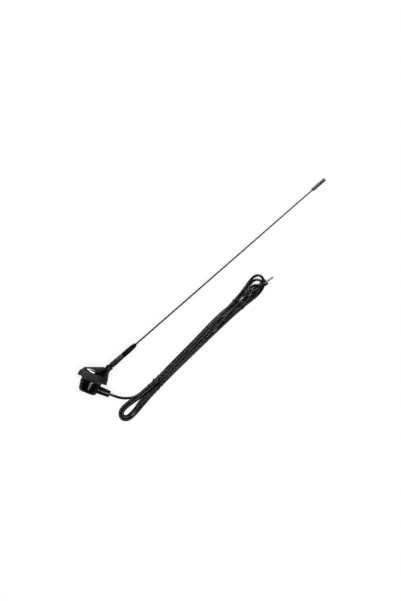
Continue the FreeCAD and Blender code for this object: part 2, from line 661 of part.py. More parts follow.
# Rubber sleeve with rings moulded round its lower half.
rubber = doc.addObject("PartDesign::Body", "mast_sleeve")
sleeve_low = S["mast_collar_start"]
foot_radius = S["sleeve_foot_radius"]
outer = [(foot_radius - 0.35, sleeve_low), (foot_radius, sleeve_low + 0.35)]
rib_count = 8
rib_room = S["rib_end"] - sleeve_low - 1.2
rib_pitch = rib_room / rib_count
for index in range(rib_count):
    start = sleeve_low + 1.2 + rib_pitch * index
    outer.append((foot_radius, start))
    outer.append((foot_radius - 0.45, start + rib_pitch * 0.3))
    outer.append((foot_radius - 0.45, start + rib_pitch * 0.55))
    outer.append((foot_radius, start + rib_pitch * 0.85))
outer.append((foot_radius, S["rib_end"]))
outer.append((foot_radius - 0.45, S["rib_end"] + 1))
outer.append((S["sleeve_top_radius"], S["ferrule_start"] - 0.3))
outer.append((S["sleeve_top_radius"] - 0.3, S["ferrule_start"]))
turn(rubber, [(S["mast_shank_radius"], sleeve_low)] + outer + [(S["mast_shank_radius"], S["ferrule_start"])])
finish(rubber, "mast_sleeve", MAST)

# Ferrule: threaded on the shank below, holding the rod above.
ferrule = doc.addObject("PartDesign::Body", "mast_ferrule")
ferrule_low = S["ferrule_start"]
ferrule_top = S["ferrule_end"]
rod_bore = S["rod_foot_radius"] + 0.05
rod_seat = S["mast_shank_end"] + 1
turn(ferrule, [(S["mast_shank_radius"], ferrule_low), (S["ferrule_radius"] - 0.4, ferrule_low),
               (S["ferrule_radius"], ferrule_low + 0.6), (S["ferrule_radius"], ferrule_low + 14),
               (S["ferrule_radius"] - 0.25, ferrule_low + 19), (S["ferrule_tip_radius"], ferrule_top - 2.2),
               (S["ferrule_tip_radius"] - 0.45, ferrule_top - 0.7), (S["rod_foot_radius"] + 0.5, ferrule_top),
               (rod_bore, ferrule_top), (rod_bore, rod_seat), (S["mast_shank_radius"], rod_seat)])
finish(ferrule, "mast_ferrule", MAST)

# Whip, thinner towards the tip.
cap_bore_end = S["cap_start"] + 14
rod = doc.addObject("PartDesign::Body", "mast_rod")
turn(rod, [(0, rod_seat), (S["rod_foot_radius"], rod_seat), (S["rod_foot_radius"], ferrule_top),
           (S["rod_tip_radius"], S["cap_start"]), (S["rod_tip_radius"], cap_bore_end), (0, cap_bore_end)])
finish(rod, "mast_rod", MAST)

cap = doc.addObject("PartDesign::Body", "mast_tip_cap")
cap_bore = S["rod_tip_radius"] + 0.05
turn(cap, [(cap_bore, S["cap_start"]), (S["rod_tip_radius"] + 0.7, S["cap_start"]),
           (S["cap_radius"] - 0.15, S["cap_start"] + 1.6), (S["cap_radius"], S["cap_start"] + 3),
           (S["cap_radius"], S["mast_end"] - 1.5), (S["cap_radius"] - 0.45, S["mast_end"] - 0.45),
           (S["cap_radius"] - 1.4, S["mast_end"]), (0, S["mast_end"]), (0, cap_bore_end + 0.3),
           (cap_bore, cap_bore_end + 0.3)])
finish(cap, "mast_tip_cap", MAST)

# Plug lying on the table, its axis level.
PLUG_TURN = FreeCAD.Rotation(UP, -6)
PLUG = FreeCAD.Placement(VEC(295.0, -61.6, TABLE + number(S["plug_collar_radius"])), PLUG_TURN)
collar = S["plug_collar_radius"]
tail = S["plug_tail_radius"]
body_radius = S["plug_body_radius"]
bore = body_radius - 1.3
boot = doc.addObject("PartDesign::Body", "plug_boot")
turn(boot, [(-30, cable_bore), (-30, tail - 0.3), (-29.6, tail), (-24.5, tail + 0.6), (-21.5, body_radius - 0.2),
            (-20.5, body_radius), (-6, body_radius), (-6, bore), (-17, bore), (-17, cable_bore)], "H_Axis")
finish(boot, "plug_boot", PLUG)
barrel = doc.addObject("PartDesign::Body", "plug_barrel")
turn(barrel, [(-16, bore - 0.9), (-16, bore), (-6, bore), (-6, collar - 0.2), (-5.8, collar), (-0.4, collar),
              (0, collar - 0.4), (0, bore), (-5, bore), (-5, bore - 0.9)], "H_Axis")
finish(barrel, "plug_barrel", PLUG)
pin_radius = S["plug_pin_radius"]
pin_end = S["plug_pin_reach"]
washer_plug = doc.addObject("PartDesign::Body", "plug_insulator")
shank_radius = pin_radius - 0.2
turn(washer_plug, [(-5, shank_radius), (-5, bore), (-0.3, bore), (-0.3, shank_radius)], "H_Axis")
finish(washer_plug, "plug_insulator", PLUG)
pin = doc.addObject("PartDesign::Body", "plug_pin")
turn(pin, [(-12, 0), (-12, shank_radius), (-0.3, shank_radius), (-0.3, pin_radius), (pin_end - 1.6, pin_radius),
           (pin_end - 0.5, pin_radius * 0.72), (pin_end, pin_radius * 0.3), (pin_end, 0)], "H_Axis")
finish(pin, "plug_pin", PLUG)

# Free stretch of cable from the sleeve down to the table and into the hank.
start = BASE.multVec(VEC(number(relief_end), 0, number(outlet_axis)))
heading = BASE.Rotation.multVec(VEC(1, 0, 0))
cable = number(S["cable_radius"])
ROUTE = [start, start + heading * 9.5, VEC(16.0, -50.8, -7.6), VEC(23.8, -57.7, -14.0),
         VEC(33.5, -62.8, TABLE + cable + 0.8), VEC(42.5, -63.2, TABLE + cable)]


def tube(points, radius, name):
    """Round cord through the points: straight runs joined by tangent arcs."""
    edges = []
    last = points[0]
    for before, corner, after in zip(points, points[1:], points[2:]):
        arriving = (corner - before).normalize()
        leaving = (after - corner).normalize()
        bend = arriving.getAngle(leaving)
        trim = 0.45 * min(before.distanceToPoint(corner), corner.distanceToPoint(after))
        print("%s bend radius %.1f mm" % (name, trim / math.tan(bend / 2)))
        entry = corner - arriving * trim
        leave = corner + leaving * trim
        middle = (entry + leave) * 0.5
        depth = middle.distanceToPoint(corner)
        sag = trim / math.tan(bend / 2) * (1 / math.cos(bend / 2) - 1)
        halfway = corner + (middle - corner) * (sag / depth)
        edges.append(Part.LineSegment(last, entry).toShape())
        edges.append(Part.Arc(entry, halfway, leave).toShape())
        last = leave
    edges.append(Part.LineSegment(last, points[-1]).toShape())
    path = Part.Wire(edges)
    first = (points[1] - points[0]).normalize()
    section = Part.Wire(Part.Circle(points[0], first, radius).toShape())
    solid = path.makePipeShell([section], True, True)
    if solid.Volume < 0:
        solid = solid.reversed()
    print("%s volume %.1f of %.1f mm3" % (name, solid.Volume, math.pi * radius ** 2 * path.Length))
    item = doc.addObject("Part::Feature", name)
    item.Shape = solid
    return item


lead = finish(tube(ROUTE, cable, "cable_lead"), "cable_lead")

# Hank in its own frame: length along X, lying on the table.
HANK = FreeCAD.Placement(VEC(11.2, -70.7, TABLE), FreeCAD.Rotation(UP, 2.75))
HANK_EDGE = [
    (-17.0, -2.0), (-15.4, 3.2), (-11.8, 7.2), (-6.0, 10.0), (1.0, 11.0), (9.0, 10.9), (17.0, 10.4), (24.0, 8.6),
    (36.0, 7.6), (48.0, 7.4), (66.0, 6.7), (84.0, 7.2), (108.0, 7.9), (138.0, 8.4), (162.0, 9.8), (186.0, 10.6),
    (208.0, 10.3), (230.0, 10.2), (246.0, 11.9), (258.0, 14.1), (267.0, 15.7), (275.0, 15.3), (281.0, 12.4),
    (284.0, 7.5), (283.6, 2.0), (281.0, -4.0), (276.0, -9.0), (268.0, -11.4), (256.0, -11.6), (244.0, -10.0),
    (230.0, -8.6), (208.0, -7.5), (180.0, -7.2), (138.0, -7.1), (108.0, -7.3), (84.0, -7.6), (66.0, -8.3),
    (48.0, -9.2), (34.0, -9.9), (22.0, -11.2), (10.0, -12.6), (0.0, -13.2), (-7.0, -12.8), (-12.6, -10.4),
    (-16.0, -6.6)]
LOWER_GAP = [(-9.4, -0.8), (-4.0, 2.2), (2.0, 3.0), (8.0, 2.5), (14.0, 1.0), (20.5, -0.7), (14.0, -1.7),
             (6.0, -3.2), (0.0, -3.5), (-5.0, -3.0)]
UPPER_GAP = [(263.0, 6.9), (268.0, 6.8), (273.0, 5.0), (276.8, 1.2), (272.0, 1.6), (266.0, 3.6)]
HUMP_EDGE = [(266.0, -9.0), (270.0, 2.0), (273.0, 9.0), (279.0, 12.0), (283.2, 7.0), (282.8, 1.0), (279.0, -5.0),
             (272.0, -10.0)]
bulk = doc.addObject("PartDesign::Body", "hank_bulk")
pad = bulk.newObject("PartDesign::Pad", "hank_pad")
pad.Profile = free_curve(bulk, HANK_EDGE)
bind(pad, "Length", S["hank_height"])
slab(bulk, free_curve(bulk, LOWER_GAP), S["hank_height"] * 3, cut=True)
slab(bulk, free_curve(bulk, UPPER_GAP), S["hank_height"] * 3, cut=True)
hump = bulk.newObject("PartDesign::Pad", "hank_hump")
hump.Profile = free_curve(bulk, HUMP_EDGE)
bind(hump, "Length", S["hump_height"])
bulk.Placement = HANK


def hoop(name, along, slant, low, high, size):
    """Eight-cornered section round the strands at one place along the hank, thickness size of wire."""
    body = doc.addObject("PartDesign::Body", name)
    inset = S["tie_thickness"] - size
    left = low + inset
    right = high - inset
    bottom = inset
    top = S["hank_height"] - inset + 1.2
    trim = 2.2
    slab(body, polygon(body, "YZ_Plane", [
        (left + trim, bottom), (right - trim, bottom), (right, bottom + trim), (right, top - trim),
        (right - trim, top), (left + trim, top), (left, top - trim), (left, bottom + trim)]), S["tie_width"])
    body.Placement = HANK.multiply(FreeCAD.Placement(VEC(along, 0, 0), FreeCAD.Rotation(UP, slant)))
    return body


def tail_piece(name, points, radius):
    """Twisted tail of a tie, lying on top of the strands."""
    spots = [HANK.multVec(VEC(*point)) for point in points]
    return tube(spots, radius, name)


def knot(name, along, across):
    """Twist of a tie."""
    item = doc.addObject("Part::Sphere", name)
    item.Radius = 1.7
    item.Placement = FreeCAD.Placement(HANK.multVec(VEC(along, across, number(S["hank_height"]) + 1.75)), LYING)
    return item


top_of_hank = number(S["hank_height"])
TIES = [("lower_tie", [(48.0, 0, -9.9, 8.4), (66.0, -22, -10.2, 8.7)],
         [(49.0, 3.0), (57.0, -0.5), (65.5, -4.6)]),
        ("upper_tie", [(229.5, 4, -9.6, 11.2)],
         [(230.0, -3.0), (237.0, -0.5), (245.0, -1.5)])]
zones = []
cores = []
tie_pieces = []
for tie_name, hoops, tail_line in TIES:
    parts = []
    for index, (along, slant, low, high) in enumerate(hoops):
        label = "%s_%d" % (tie_name, index)
        outside = hoop(label + "_outer", along, slant, low, high, S["tie_thickness"])
        inside = hoop(label + "_inner", along, slant, low, high, 0)
        wide = doc.addObject("Part::Box", label + "_zone")
        wide.Length = number(S["tie_width"])
        wide.Width = 60
        wide.Height = 40
        offset = FreeCAD.Placement(VEC(-number(S["tie_width"]) / 2, -30, -10), FreeCAD.Rotation())
        wide.Placement = outside.Placement.multiply(offset)
        parts.append(cut(label + "_band", outside, inside))
        zones.append(wide)
        cores.append(inside)
    heights = [top_of_hank + 0.85 + 0.9 * (index % 2) for index in range(len(tail_line))]
    points = [(along, across, height) for (along, across), height in zip(tail_line, heights)]
    parts.append(tail_piece(tie_name + "_tail", points, 0.75))
    parts.append(knot(tie_name + "_knot", tail_line[0][0], tail_line[0][1]))
    tie = joined(tie_name + "_whole", parts)
    doc.recompute()
    tie_pieces.append(tie)

lead_room = tube(ROUTE, cable + 0.02, "lead_room")
plug_room = primitive("Part::Cylinder", "plug_room", {"Radius": collar + 0.3, "Height": 12})
plug_room.Placement = PLUG.multiply(FreeCAD.Placement(VEC(-6.3, 0, 0), FreeCAD.Rotation(ACROSS, 90)))
boot_room = primitive("Part::Cylinder", "boot_room", {"Radius": body_radius + 0.3, "Height": 25})
boot_room.Placement = PLUG.multiply(FreeCAD.Placement(VEC(-30, 0, 0), FreeCAD.Rotation(ACROSS, 90)))
waists = cut("waists", joined("tie_zones", zones), joined("tie_cores", cores))
hank_rooms = joined("hank_rooms", [waists, lead_room, plug_room, boot_room])
finish(cut("cable_hank", bulk, hank_rooms), "cable_hank")
for tie, (tie_name, hoops, tail_line) in zip(tie_pieces, TIES):
    finish(tie, tie_name)

for item in pieces:
    item.Shape.exportStep("parts/%s.step" % item.Label)
    box = item.Shape.BoundBox
    print("%-16s solids %d volume %9.1f box %.1f %.1f %.1f to %.1f %.1f %.1f" % (
        item.Label, len(item.Shape.Solids), item.Shape.Volume,
        box.XMin, box.YMin, box.ZMin, box.XMax, box.YMax, box.ZMax))
print("droop %.4f deg, table %.4f mm, hinge at %s" % (math.degrees(droop), TABLE, MAST.Base))
print("sleeve mouth at %s heading %s" % (start, heading))
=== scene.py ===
"""Hinged car roof aerial with its clamp cup, tied coaxial lead and plug, lying on a white table."""
import bpy
import bmesh
import math
from mathutils import Matrix, Vector


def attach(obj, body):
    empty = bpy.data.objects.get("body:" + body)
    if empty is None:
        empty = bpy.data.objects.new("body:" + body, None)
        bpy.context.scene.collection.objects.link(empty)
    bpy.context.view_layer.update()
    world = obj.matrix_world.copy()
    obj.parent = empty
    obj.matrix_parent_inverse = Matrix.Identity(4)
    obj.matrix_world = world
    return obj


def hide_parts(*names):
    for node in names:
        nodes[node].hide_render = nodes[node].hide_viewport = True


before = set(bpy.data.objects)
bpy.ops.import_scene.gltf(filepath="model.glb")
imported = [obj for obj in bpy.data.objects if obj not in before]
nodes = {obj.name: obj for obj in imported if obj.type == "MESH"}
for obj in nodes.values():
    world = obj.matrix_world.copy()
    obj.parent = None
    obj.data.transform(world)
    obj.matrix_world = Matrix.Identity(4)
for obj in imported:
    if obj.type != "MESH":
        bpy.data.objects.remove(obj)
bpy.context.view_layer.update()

# Camera straight above the table, turned so that the whip rises to the right.
CAMERA_HEIGHT = 8.0
CAMERA_PLACE = (0.2011, -0.0176, CAMERA_HEIGHT)
CAMERA_TURN = math.radians(-41.15)
VIEW_HEIGHT = 0.9015
SENSOR = 24
camera_data = bpy.data.cameras.new("camera")
camera_data.sensor_fit = "VERTICAL"
camera_data.sensor_height = SENSOR
camera_data.lens = SENSOR * CAMERA_HEIGHT / VIEW_HEIGHT
camera_data.clip_end = 40
camera = bpy.data.objects.new("camera", camera_data)
camera.location = CAMERA_PLACE
camera.rotation_euler = (0, 0, CAMERA_TURN)
bpy.context.scene.collection.objects.link(camera)
bpy.context.scene.camera = camera
bpy.context.scene.view_settings.view_transform = "Standard"


# Coaxial cable: black PVC, pulled out of the outlet sleeve, laid to the table and folded to and fro into a hank
# of seven runs in two layers, then on to the plug. One smooth spline; its points are (along, across, height) in
# the frame of the hank, where each run shifts a little from its neighbours.
MM = 0.001
SMOOTH_UP_TO = math.radians(38)

# Frames in millimetres: the foot with its bolt along Z and the table side at +Y, the mast along Z from the
# hinge, the plug along X, and the hank along X with heights above the table. LEAN is the angle between bolt and
# mast. droop is the slope of foot and mast down to the tip cap, which rests on the table with the foot.
LEAN = math.radians(27.35)
HINGE = Vector((16.9, 0, 25.8))
MAST_REACH = 430.2
TIP_DROP = 17.4
FOOT_HALF_LENGTH = 23.3
FOOT_HALF_WIDTH = 20.0
droop = math.atan2(TIP_DROP, HINGE.x * math.sin(LEAN) + HINGE.z * math.cos(LEAN) + MAST_REACH)
TABLE = -math.hypot(FOOT_HALF_LENGTH * math.sin(LEAN) * math.sin(droop), FOOT_HALF_WIDTH * math.cos(droop))
BASE = (Matrix.Rotation(droop, 4, "Y") @ Matrix.Rotation(LEAN - math.pi / 2, 4, "Z")
        @ Matrix.Rotation(-math.pi / 2, 4, "X"))
PLUG = Matrix.Translation((295.0, -61.6, TABLE + 4.75)) @ Matrix.Rotation(math.radians(-6), 4, "Z")
HANK = Matrix.Translation((11.2, -70.7, TABLE)) @ Matrix.Rotation(math.radians(2.75), 4, "Z")
OUTLET_HEIGHT = -10.2
SLEEVE_REACH = 33.0
CABLE_RADIUS = 2.0


def node_of(tree, kind, **inputs):
    """Adds a shader node and sets its input values."""
    item = tree.nodes.new(kind)
    for key, value in inputs.items():
        item.inputs[key.replace("_", " ")].default_value = value
    return item


def surface(name, dark, light, rough, grain, metallic=0.0, coat=0.0, bump=0.02, gloss=0.5):
    """Moulded, painted or machined surface: colour and roughness vary over a fine grain, with a bump.

    rough is the lowest and highest roughness, grain and bump the size and depth of the pattern in mm.
    """
    material = bpy.data.materials.new(name)
    material.use_nodes = True
    tree = material.node_tree
    shader = tree.nodes["Principled BSDF"]
    shader.inputs["Metallic"].default_value = metallic
    shader.inputs["Coat Weight"].default_value = coat
    shader.inputs["Coat Roughness"].default_value = 0.05
    shader.inputs["Specular IOR Level"].default_value = gloss
    place = tree.nodes.new("ShaderNodeTexCoord")
    size = tree.nodes.new("ShaderNodeMapping")
    size.inputs["Scale"].default_value = [1000 / grain] * 3
    tree.links.new(place.outputs["Object"], size.inputs["Vector"])
    noise = node_of(tree, "ShaderNodeTexNoise", Scale=1.0, Detail=5.0, Roughness=0.6)
    tree.links.new(size.outputs["Vector"], noise.inputs["Vector"])
    broad = node_of(tree, "ShaderNodeTexNoise", Scale=0.12, Detail=2.0)
    tree.links.new(size.outputs["Vector"], broad.inputs["Vector"])
    colour = tree.nodes.new("ShaderNodeMix")
    colour.data_type = "RGBA"
    colour.inputs["A"].default_value = (*dark, 1)
    colour.inputs["B"].default_value = (*light, 1)
    tree.links.new(broad.outputs["Fac"], colour.inputs["Factor"])
    tree.links.new(colour.outputs["Result"], shader.inputs["Base Color"])
    span = node_of(tree, "ShaderNodeMapRange", From_Min=0.3, From_Max=0.7, To_Min=rough[0], To_Max=rough[1])
    tree.links.new(noise.outputs["Fac"], span.inputs["Value"])
    tree.links.new(span.outputs["Result"], shader.inputs["Roughness"])
    relief = node_of(tree, "ShaderNodeBump", Strength=0.35, Distance=bump / 1000)
    tree.links.new(noise.outputs["Fac"], relief.inputs["Height"])
    tree.links.new(relief.outputs["Normal"], shader.inputs["Normal"])
    return material


def dress(piece, material, body, slot, *replaced):
    """Material, smooth shading and body of one piece, and the CAD nodes that it stands for. slot is not used."""
    piece.data.materials.clear()
    piece.data.materials.append(material)
    if piece.type == "MESH":
        bpy.ops.object.select_all(action="DESELECT")
        piece.select_set(True)
        bpy.context.view_layer.objects.active = piece
        bpy.ops.object.shade_smooth_by_angle(angle=SMOOTH_UP_TO)
    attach(piece, body)
    if replaced:
        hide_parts(*replaced)


def strand(name, points, radius, matrix):
    """Round cord or wire: one smooth spline with the points as its control points, in the frame's mm."""
    data = bpy.data.curves.new(name, "CURVE")
    data.dimensions = "3D"
    data.resolution_u = 10
    data.bevel_depth = radius * MM
    data.bevel_resolution = 5
    data.use_fill_caps = True
    line = data.splines.new("NURBS")
    line.points.add(len(points) - 1)
    for spot, place in zip(line.points, points):
        spot.co = (*((matrix @ Vector(place)) * MM), 1)
    line.order_u = 3
    line.use_endpoint_u = True
    piece = bpy.data.objects.new(name, data)
    bpy.context.scene.collection.objects.link(piece)
    return piece


jacket = surface("cable_pvc", (0.002, 0.002, 0.002), (0.007, 0.007, 0.007), (0.28, 0.36), 1.6, bump=0.003,
                 gloss=0.35)
start = BASE @ Vector((SLEEVE_REACH, 0, OUTLET_HEIGHT))
heading = BASE.to_3x3() @ Vector((1, 0, 0))
to_hank = HANK.inverted()
LEAD = [start, start + heading * 9.5, Vector((16.0, -50.8, -7.6)), Vector((23.8, -57.7, -14.0))]
FIRST_RUN = [
    (21.0, 7.8, 6.5), (30.0, 6.0, 6.0), (42.0, 5.1, 6.0), (54.0, 4.0, 5.7), (68.0, 3.6, 5.5), (90.0, 3.9, 5.4),
    (120.0, 4.5, 5.5), (150.0, 5.4, 5.5), (164.0, 6.1, 5.5), (178.0, 7.1, 5.5), (191.0, 7.2, 5.6),
    (205.0, 7.2, 5.8), (217.0, 7.8, 5.9), (229.0, 8.4, 5.3), (240.0, 9.5, 3.9), (248.0, 10.5, 2.4),
    (256.0, 11.9, 2.0), (266.0, 13.9, 2.4), (274.5, 14.3, 4.4), (280.7, 12.0, 7.6), (283.5, 6.9, 10.4),
    (282.0, 1.2, 11.9), (278.8, -3.4, 11.9), (274.4, -6.7, 10.0), (268.0, -8.7, 5.8), (261.0, -9.5, 2.8),
    (252.0, -9.3, 2.0), (241.0, -7.9, 2.0)]
SECOND_RUN = [
    (229.0, -7.2, 2.0), (217.0, -6.5, 2.0), (205.0, -6.1, 2.0), (191.0, -5.9, 2.0), (164.0, -5.8, 2.0),
    (120.0, -5.8, 2.0), (90.0, -5.9, 2.0), (68.0, -6.4, 2.0), (54.0, -6.9, 2.0), (42.0, -7.6, 2.0),
    (30.0, -8.6, 2.0), (20.0, -9.6, 2.0), (8.0, -11.0, 2.0), (-3.0, -11.4, 2.0), (-10.6, -10.0, 2.0),
    (-15.3, -5.8, 2.0), (-16.4, -0.8, 2.0), (-14.7, 4.3, 2.0), (-10.3, 8.1, 2.0), (-3.0, 9.8, 2.0)]
THIRD_RUN = [
    (6.0, 9.4, 2.0), (13.0, 8.5, 2.0), (21.0, 7.0, 2.0), (30.0, 6.2, 2.0), (42.0, 5.4, 2.0), (54.0, 5.0, 2.0),
    (68.0, 4.9, 2.0), (90.0, 5.9, 2.0), (120.0, 6.6, 2.0), (150.0, 7.4, 2.0), (164.0, 8.1, 2.0),
    (178.0, 8.8, 2.0), (191.0, 9.0, 2.0), (205.0, 8.7, 2.0), (217.0, 7.2, 2.0), (228.0, 5.6, 2.4),
    (238.0, 5.5, 2.0), (248.0, 6.5, 2.0), (256.0, 7.9, 2.0), (263.0, 9.4, 2.2), (269.4, 10.6, 3.4),
    (274.0, 8.8, 6.2), (277.4, 5.0, 9.2), (278.0, 0.9, 11.2), (275.3, -2.8, 11.6), (270.2, -5.3, 10.2),
    (264.4, -6.9, 6.6), (257.5, -5.4, 4.0), (250.0, -3.4, 2.2)]
FOURTH_RUN = [
    (242.0, -2.7, 2.0), (229.0, -2.5, 2.0), (217.0, -1.3, 2.0), (205.0, 0.4, 2.0), (191.0, 1.3, 2.4),
    (178.0, 2.0, 4.2), (164.0, 2.3, 5.5), (150.0, 1.7, 5.5), (120.0, 0.7, 5.4), (90.0, 0.1, 5.4),
    (68.0, 0.0, 5.5), (54.0, 0.4, 5.7), (42.0, 1.4, 6.0), (30.0, 2.5, 6.0), (20.0, 3.5, 6.0), (11.0, 5.1, 5.9),
    (3.0, 5.8, 5.9), (-4.0, 5.9, 5.9), (-9.6, 4.4, 5.9), (-12.8, 0.2, 5.9), (-12.2, -4.4, 5.8),
    (-7.6, -7.2, 5.7)]
FIFTH_RUN = [
    (1.0, -7.0, 5.6), (9.0, -6.9, 5.6), (16.0, -6.6, 5.2), (23.0, -5.7, 5.2), (30.0, -5.4, 5.2),
    (42.0, -4.9, 5.4), (54.0, -4.2, 5.5), (68.0, -3.9, 5.4), (90.0, -3.7, 5.4), (120.0, -3.6, 5.4),
    (150.0, -3.0, 5.5), (164.0, -2.3, 5.6), (178.0, -1.5, 5.8), (191.0, -0.8, 6.2), (205.0, 0.6, 6.0),
    (217.0, 1.0, 5.6), (229.0, 1.2, 6.0), (236.0, 0.3, 6.0), (241.0, 1.0, 6.4), (247.0, 3.6, 6.8),
    (254.0, 4.2, 6.0), (260.6, 4.9, 5.4), (265.4, 4.9, 7.6), (269.0, 2.9, 9.8), (270.4, -0.5, 11.0),
    (268.8, -3.9, 11.4), (264.8, -5.9, 11.0), (260.0, -6.5, 10.0), (255.4, -6.5, 8.6), (250.0, -6.0, 6.6)]
SIXTH_RUN = [
    (243.0, -5.2, 5.3), (229.0, -4.7, 5.3), (217.0, -3.7, 5.3), (205.0, -2.8, 4.0), (191.0, -2.2, 2.5),
    (178.0, -1.7, 2.0), (150.0, -1.1, 2.0), (120.0, -1.5, 2.0), (90.0, -1.9, 2.0), (68.0, -2.6, 2.0),
    (54.0, -2.8, 2.0), (42.0, -2.5, 2.0), (30.0, -1.9, 2.0), (22.5, -2.0, 2.0), (16.0, -3.4, 2.0),
    (9.0, -4.9, 2.0), (2.0, -5.5, 2.0), (-3.4, -5.6, 2.0), (-8.0, -4.8, 2.0), (-11.2, -2.2, 2.0),
    (-11.4, 1.4, 2.0), (-8.4, 4.2, 2.0), (-3.4, 5.1, 2.0)]
LAST_RUN = [
    (3.0, 5.0, 2.0), (11.0, 4.2, 2.0), (18.0, 2.9, 2.0), (24.0, 2.1, 2.0), (32.0, 1.8, 2.0), (42.0, 1.4, 2.0),
    (54.0, 1.1, 2.0), (68.0, 1.2, 2.0), (90.0, 2.0, 2.0), (120.0, 2.6, 2.0), (150.0, 3.2, 2.0),
    (164.0, 4.1, 2.0), (178.0, 4.9, 2.0), (191.0, 5.1, 2.0), (205.0, 4.6, 2.0), (217.0, 3.8, 2.0),
    (227.0, 2.8, 2.0), (235.0, 1.1, 2.0), (242.5, 0.6, 3.0)]
RUNS = FIRST_RUN + SECOND_RUN + THIRD_RUN + FOURTH_RUN + FIFTH_RUN + SIXTH_RUN + LAST_RUN
plug_in = [to_hank @ (PLUG @ Vector((place, 0, 0))) for place in (-36, -28, -18)]
cable_line = [to_hank @ spot for spot in LEAD] + RUNS + plug_in
cable = strand("coaxial_cable", cable_line, CABLE_RADIUS, HANK)
dress(cable, jacket, "base", "cable_black", "cable_lead", "cable_hank")

# Ties: plastic-coated wire. The lower one is wound three times round the strands and the upper one twice;
# the two ends of each are twisted together and laid down on top.
TIE_RADIUS = 0.65
TIE_END_RADIUS = 0.6
TWIST_PITCH = 4.2
TWIST_GAP = 0.62
wire = surface("tie_coating", (0.003, 0.003, 0.003), (0.009, 0.009, 0.009), (0.4, 0.55), 0.8, bump=0.03,
               gloss=0.25)


def wrap(along, low, high, top, slant, lean=0.0):
    """Points of one turn of wire round the strands, from the top middle over the left edge and back."""
    middle = (low + high) / 2
    spots = [(middle, top), (high - 2.5, top - 0.3), (high + 0.3, top - 2.6), (high + 0.5, 2.4),
             (high - 1.6, 0.75), (middle, 0.7), (low + 1.6, 0.75), (low - 0.5, 2.4), (low - 0.3, top - 2.6),
             (low + 2.5, top - 0.3)]
    slope = math.tan(math.radians(slant))
    return [(along - across * slope + lean * step / len(spots), across, height)
            for step, (across, height) in enumerate(spots)]


def twist(centre_line, pitch, gap, phase):
    """One of two wires twisted round a line of points."""
    spots = []
    travelled = 0.0
    for before, after in zip(centre_line, centre_line[1:]):
        before = Vector(before)
        after = Vector(after)
        run = (after - before).length
        steps = max(2, round(run / (pitch / 6)))
        direction = (after - before).normalized()
        side = direction.cross(Vector((0, 0, 1))).normalized()
        over = side.cross(direction)
        for step in range(steps):
            turn = 2 * math.pi * (travelled + run * step / steps) / pitch + phase
            offset = (side * math.cos(turn) + over * math.sin(turn)) * gap
            spots.append(before.lerp(after, step / steps) + offset)
        travelled += run
    return spots


lower_turns = (wrap(48, -8.9, 7.7, 9.0, 0) + wrap(52, -8.9, 7.6, 9.0, -30, 10)
               + wrap(65.5, -8.4, 7.3, 8.9, -16) + [(66, -0.4, 9.3)])
dress(strand("lower_tie_wire", lower_turns, TIE_RADIUS, HANK), wire, "base", "tie_black", "lower_tie")
lower_end = [(66, -0.4, 9.3), (62, 1.4, 9.2), (56, 2.4, 9.0), (52.5, 3.4, 8.8)]
for name, phase in (("lower_tie_end_a", 0.0), ("lower_tie_end_b", math.pi)):
    line = twist(lower_end, TWIST_PITCH, TWIST_GAP, phase)
    dress(strand(name, line, TIE_END_RADIUS, HANK), wire, "base", "tie_black")
upper_turns = wrap(228.2, -9.1, 10.7, 8.7, 3) + wrap(230.6, -9.1, 10.7, 8.7, 3) + [(232, 0.6, 9.0)]
dress(strand("upper_tie_wire", upper_turns, TIE_RADIUS, HANK), wire, "base", "tie_black", "upper_tie")
upper_end = [(231, 0.6, 9.2), (236, -2.2, 9.2), (241, -3.6, 8.9), (245, -3.4, 9.2)]
for name, phase in (("upper_tie_end_a", 0.0), ("upper_tie_end_b", math.pi)):
    line = twist(upper_end, TWIST_PITCH, TWIST_GAP, phase)
    dress(strand(name, line, TIE_END_RADIUS, HANK), wire, "base", "tie_black")

# Plug boot: black moulded PVC, turned, tapering to the cable with a small lip at its mouth and a shallow
# groove. It holds the end of the cable and the back of the barrel.
ALONG_X = Matrix.Rotation(math.pi / 2, 4, "Y")
PLUG_AXIS = PLUG @ ALONG_X


def placed(name, mesh):
    """Object at the origin from a finished mesh."""
    data = bpy.data.meshes.new(name)
    mesh.to_mesh(data)
    mesh.free()
    piece = bpy.data.objects.new(name, data)
    bpy.context.scene.collection.objects.link(piece)
    return piece


def skin(name, rings, matrix, segments):
    """Surface through ovals. A ring is (half length, half width, height, centre, tilt in degrees), where the
    last two may be left out."""
    mesh = bmesh.new()
    loops = []
    for ring in rings:
        long, wide, height = ring[:3]
        centre = ring[3] if len(ring) > 3 else 0.0
        tilt = math.radians(ring[4]) if len(ring) > 4 else 0.0
        spots = []
        count = 1 if long == 0 else segments
        for step in range(count):
            turn = 2 * math.pi * step / segments
            across = long * math.cos(turn)
            spot = Vector((centre + across * math.cos(tilt), wide * math.sin(turn),
                           height + across * math.sin(tilt)))
            spots.append(mesh.verts.new((matrix @ spot) * MM))
        loops.append(spots)
    for low, high in zip(loops, loops[1:]):
        for step in range(segments):
            after = (step + 1) % segments
            corners = [low[step % len(low)], low[after % len(low)],
                       high[after % len(high)], high[step % len(high)]]
            corners = list(dict.fromkeys(corners))
            if len(corners) > 2:
                mesh.faces.new(corners)
    bmesh.ops.recalc_face_normals(mesh, faces=mesh.faces)
    return placed(name, mesh)


def turned(name, profile, matrix, segments):
    """Turned piece from (radius, height) points."""
    return skin(name, [(radius, radius, height) for radius, height in profile], matrix, segments)


def arc(centre, radius, start, end, steps):
    """Points of a rounded corner in a profile, angles in degrees."""
    angles = [math.radians(start + (end - start) * step / steps) for step in range(steps + 1)]
    return [(centre[0] + radius * math.cos(turn), centre[1] + radius * math.sin(turn)) for turn in angles]


